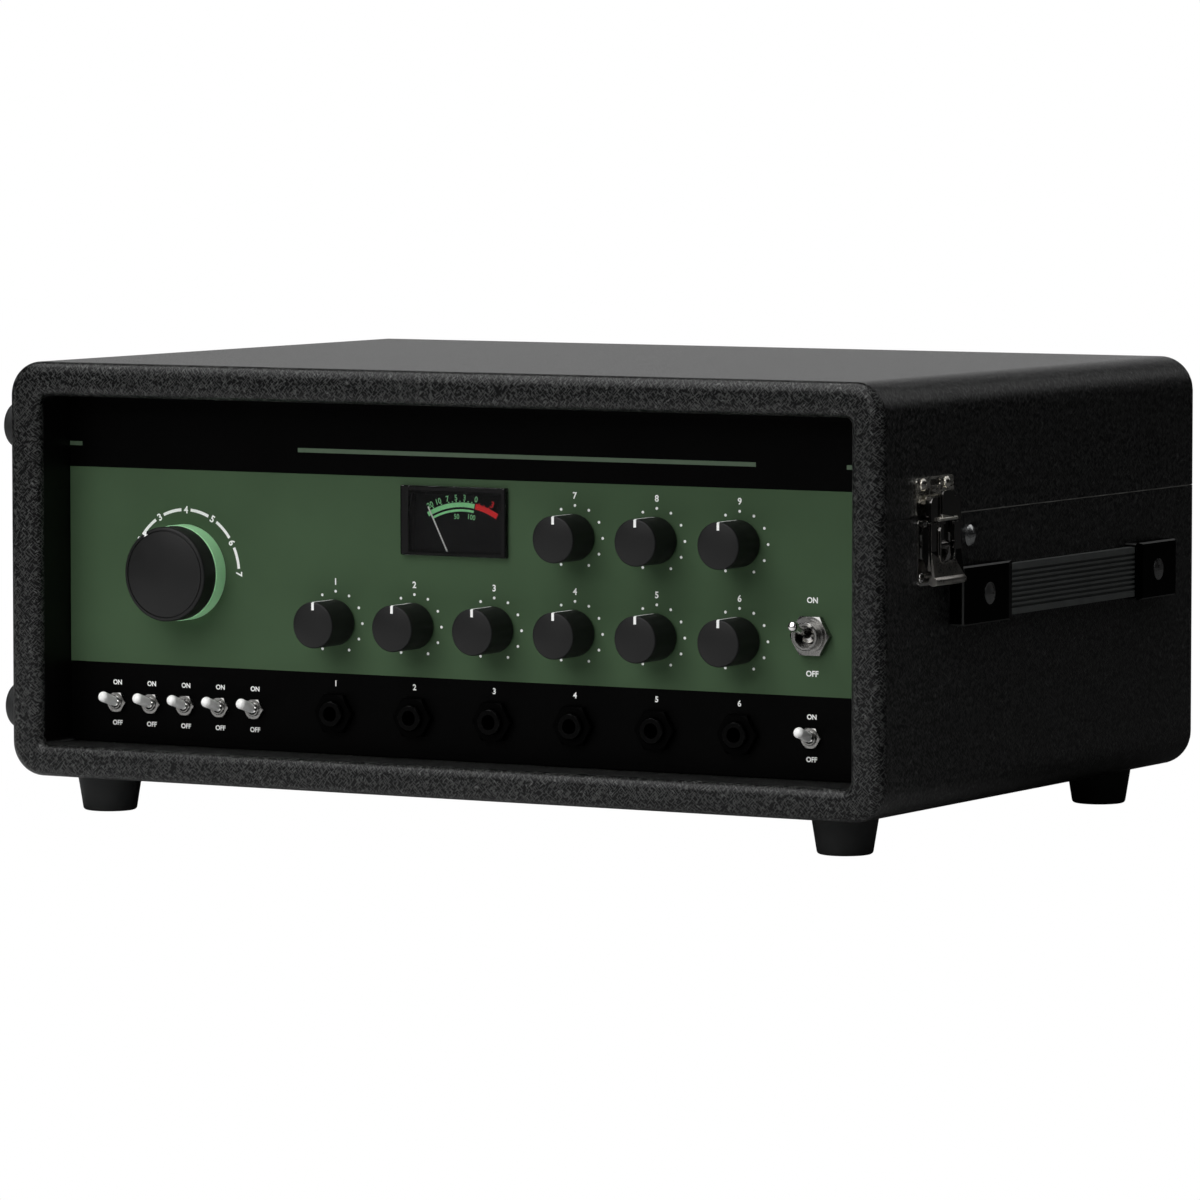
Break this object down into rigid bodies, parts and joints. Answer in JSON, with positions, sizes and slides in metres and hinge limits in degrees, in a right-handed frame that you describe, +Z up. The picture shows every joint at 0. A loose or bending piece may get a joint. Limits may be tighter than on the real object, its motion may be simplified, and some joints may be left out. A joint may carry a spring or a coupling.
{
  "type": "tape echo unit",
  "caption": "Portable tape echo unit: black covered case with a hinged lid over a tape transport, and a recessed front panel with knobs, mode dial, meter, switches and jacks.",
  "frame": {"origin": "middle of the footprint, on the surface that the feet stand on", "axes": "+X to the right of the front panel, +Y to the back, +Z up"},
  "size_m": [0.4514, 0.3124, 0.198],
  "materials": {
    "covering": "plywood under black pebbled covering",
    "rubber": "matt",
    "strap": "ribbed, satin",
    "cap": "gloss",
    "bright": "nickel plated",
    "zinc": "zinc plated",
    "panel": "dark green field on black",
    "steel": "plain",
    "aluminium": "brushed",
    "black_plastic": "satin",
    "knob": "satin",
    "collar": "satin",
    "white": "satin",
    "board": "laminate",
    "black_metal": "matt",
    "dial": "printed scale",
    "lens": "clear",
    "window": "clear",
    "needle": "white lacquer",
    "brass": "turned",
    "tape": "oxide tape",
    "motor": "painted can"
  },
  "bodies": {
    "case": {"lower_case": "covering", "feet": "rubber", "side_bumpers": "rubber", "case_screws": "bright", "handle_strap": "strap", "handle_caps": "cap", "front_panel": "panel", "chassis": "zinc", "deck_plate": "aluminium", "motor": "motor", "power_transformer": "steel", "main_board": "board", "rear_panel": "black_metal", "mains_inlet": "black_plastic", "tape_heads": "steel", "tape_guides": "steel", "tape_loop": "tape", "tape_window": "window", "drive_belt": "rubber", "rotary_controls": "steel", "mode_collar": "collar", "jacks": "black_plastic", "panel_nuts": "bright", "toggle_bodies": "bright", "meter_housing": "black_plastic", "meter_dial": "dial", "meter_lens": "lens", "capstan_bearing": "brass", "latch_bases": "bright", "hinge_case_leaves": "bright"},
    "lid": {"lid_shell": "covering", "latch_keepers": "bright", "hinge_lid_leaves": "bright", "lid_bumpers": "rubber"},
    "latch_lever_right": {"latch_lever_right": "bright"},
    "latch_lever_left": {"latch_lever_left": "bright"},
    "latch_bail_right": {"latch_bail_right": "bright"},
    "latch_bail_left": {"latch_bail_left": "bright"},
    "mode_knob": {"mode_knob": "knob"},
    "meter_needle": {"meter_needle": "needle"},
    "capstan_flywheel": {"capstan_flywheel": "steel"},
    "motor_pulley": {"motor_pulley": "brass"},
    "pinch_arm": {"pinch_arm": "steel"},
    "pinch_roller": {"pinch_roller": "rubber"},
    "power_lever": {"power_lever": "bright"},
    "knob_lower_1": {"knob_lower_1": "knob"},
    "knob_lower_2": {"knob_lower_2": "knob"},
    "knob_lower_3": {"knob_lower_3": "knob"},
    "knob_lower_4": {"knob_lower_4": "knob"},
    "knob_lower_5": {"knob_lower_5": "knob"},
    "knob_lower_6": {"knob_lower_6": "knob"},
    "knob_upper_1": {"knob_upper_1": "knob"},
    "knob_upper_2": {"knob_upper_2": "knob"},
    "knob_upper_3": {"knob_upper_3": "knob"},
    "toggle_lever_1": {"toggle_lever_1": "white"},
    "toggle_lever_2": {"toggle_lever_2": "white"},
    "toggle_lever_3": {"toggle_lever_3": "white"},
    "toggle_lever_4": {"toggle_lever_4": "white"},
    "toggle_lever_5": {"toggle_lever_5": "white"},
    "toggle_lever_6": {"toggle_lever_6": "white"}
  },
  "joints": [
    {"name": "lid_hinge", "type": "hinge", "parent": "case", "child": "lid", "pos_m": [0.00085, 0.1528, 0.1411], "axis": [-1, 0, 0], "range_deg": [0, 100]},
    {"name": "latch_right", "type": "hinge", "parent": "case", "child": "latch_lever_right", "pos_m": [0.22015, -0.1108, 0.1382], "axis": [0, -1, 0], "range_deg": [0, 100]},
    {"name": "bail_right", "type": "hinge", "parent": "latch_lever_right", "child": "latch_bail_right", "pos_m": [0.22085, -0.1108, 0.1292], "axis": [0, -1, 0], "range_deg": [-80, 0]},
    {"name": "latch_left", "type": "hinge", "parent": "case", "child": "latch_lever_left", "pos_m": [-0.21845, -0.1108, 0.1382], "axis": [0, 1, 0], "range_deg": [0, 100]},
    {"name": "bail_left", "type": "hinge", "parent": "latch_lever_left", "child": "latch_bail_left", "pos_m": [-0.21915, -0.1108, 0.1292], "axis": [0, 1, 0], "range_deg": [-80, 0]},
    {"name": "knob_lower_1_turn", "type": "hinge", "parent": "case", "child": "knob_lower_1", "pos_m": [-0.06175, -0.1412, 0.0874], "axis": [0, 1, 0], "range_deg": [-150, 150]},
    {"name": "knob_lower_2_turn", "type": "hinge", "parent": "case", "child": "knob_lower_2", "pos_m": [-0.02205, -0.1412, 0.0874], "axis": [0, 1, 0], "range_deg": [-150, 150]},
    {"name": "knob_lower_3_turn", "type": "hinge", "parent": "case", "child": "knob_lower_3", "pos_m": [0.01765, -0.1412, 0.0874], "axis": [0, 1, 0], "range_deg": [-150, 150]},
    {"name": "knob_lower_4_turn", "type": "hinge", "parent": "case", "child": "knob_lower_4", "pos_m": [0.05735, -0.1412, 0.0874], "axis": [0, 1, 0], "range_deg": [-150, 150]},
    {"name": "knob_lower_5_turn", "type": "hinge", "parent": "case", "child": "knob_lower_5", "pos_m": [0.09705, -0.1412, 0.0874], "axis": [0, 1, 0], "range_deg": [-150, 150]},
    {"name": "knob_lower_6_turn", "type": "hinge", "parent": "case", "child": "knob_lower_6", "pos_m": [0.13675, -0.1412, 0.0874], "axis": [0, 1, 0], "range_deg": [-150, 150]},
    {"name": "knob_upper_1_turn", "type": "hinge", "parent": "case", "child": "knob_upper_1", "pos_m": [0.05735, -0.1412, 0.1281], "axis": [0, 1, 0], "range_deg": [-150, 150]},
    {"name": "knob_upper_2_turn", "type": "hinge", "parent": "case", "child": "knob_upper_2", "pos_m": [0.09705, -0.1412, 0.1281], "axis": [0, 1, 0], "range_deg": [-150, 150]},
    {"name": "knob_upper_3_turn", "type": "hinge", "parent": "case", "child": "knob_upper_3", "pos_m": [0.13675, -0.1412, 0.1281], "axis": [0, 1, 0], "range_deg": [-150, 150]},
    {"name": "mode_turn", "type": "hinge", "parent": "case", "child": "mode_knob", "pos_m": [-0.13885, -0.1412, 0.1065], "axis": [0, 1, 0], "range_deg": [-60, 120]},
    {"name": "toggle_lever_1_throw", "type": "hinge", "parent": "case", "child": "toggle_lever_1", "pos_m": [-0.17445, -0.1324, 0.048], "axis": [1, 0, 0], "range_deg": [0, 34]},
    {"name": "toggle_lever_2_throw", "type": "hinge", "parent": "case", "child": "toggle_lever_2", "pos_m": [-0.1566, -0.1324, 0.048], "axis": [1, 0, 0], "range_deg": [0, 34]},
    {"name": "toggle_lever_3_throw", "type": "hinge", "parent": "case", "child": "toggle_lever_3", "pos_m": [-0.13875, -0.1324, 0.048], "axis": [1, 0, 0], "range_deg": [0, 34]},
    {"name": "toggle_lever_4_throw", "type": "hinge", "parent": "case", "child": "toggle_lever_4", "pos_m": [-0.1209, -0.1324, 0.048], "axis": [1, 0, 0], "range_deg": [0, 34]},
    {"name": "toggle_lever_5_throw", "type": "hinge", "parent": "case", "child": "toggle_lever_5", "pos_m": [-0.10305, -0.1324, 0.048], "axis": [1, 0, 0], "range_deg": [0, 34]},
    {"name": "toggle_lever_6_throw", "type": "hinge", "parent": "case", "child": "toggle_lever_6", "pos_m": [0.17105, -0.1324, 0.048], "axis": [1, 0, 0], "range_deg": [0, 34]},
    {"name": "power_throw", "type": "hinge", "parent": "case", "child": "power_lever", "pos_m": [0.17125, -0.1332, 0.0908], "axis": [1, 0, 0], "range_deg": [0, 37]},
    {"name": "needle_swing", "type": "hinge", "parent": "case", "child": "meter_needle", "pos_m": [-0.00065, -0.1272, 0.1056], "axis": [0, 1, 0], "range_deg": [0, 57], "stiffness_Nm_per_rad": 0.0001},
    {"name": "capstan_spin", "type": "hinge", "parent": "case", "child": "capstan_flywheel", "pos_m": [0.07175, -0.0362, 0.1362], "axis": [0, 0, 1], "continuous": true},
    {"name": "pulley_spin", "type": "hinge", "parent": "case", "child": "motor_pulley", "pos_m": [0.13675, -0.0112, 0.1262], "axis": [0, 0, 1], "continuous": true},
    {"name": "pinch_arm_swing", "type": "hinge", "parent": "case", "child": "pinch_arm", "pos_m": [0.03975, -0.0526, 0.1362], "axis": [0, 0, 1], "range_deg": [-20, 0]},
    {"name": "roller_spin", "type": "hinge", "parent": "pinch_arm", "child": "pinch_roller", "pos_m": [0.07175, -0.0486, 0.1462], "axis": [0, 0, 1], "continuous": true}
  ],
  "couplings": [
    {"joint": "bail_right", "follows": "latch_right", "ratio": -0.8},
    {"joint": "bail_left", "follows": "latch_left", "ratio": -0.8},
    {"joint": "pulley_spin", "follows": "capstan_spin", "ratio": 5.3333},
    {"joint": "roller_spin", "follows": "capstan_spin", "ratio": -0.27778}
  ]
}
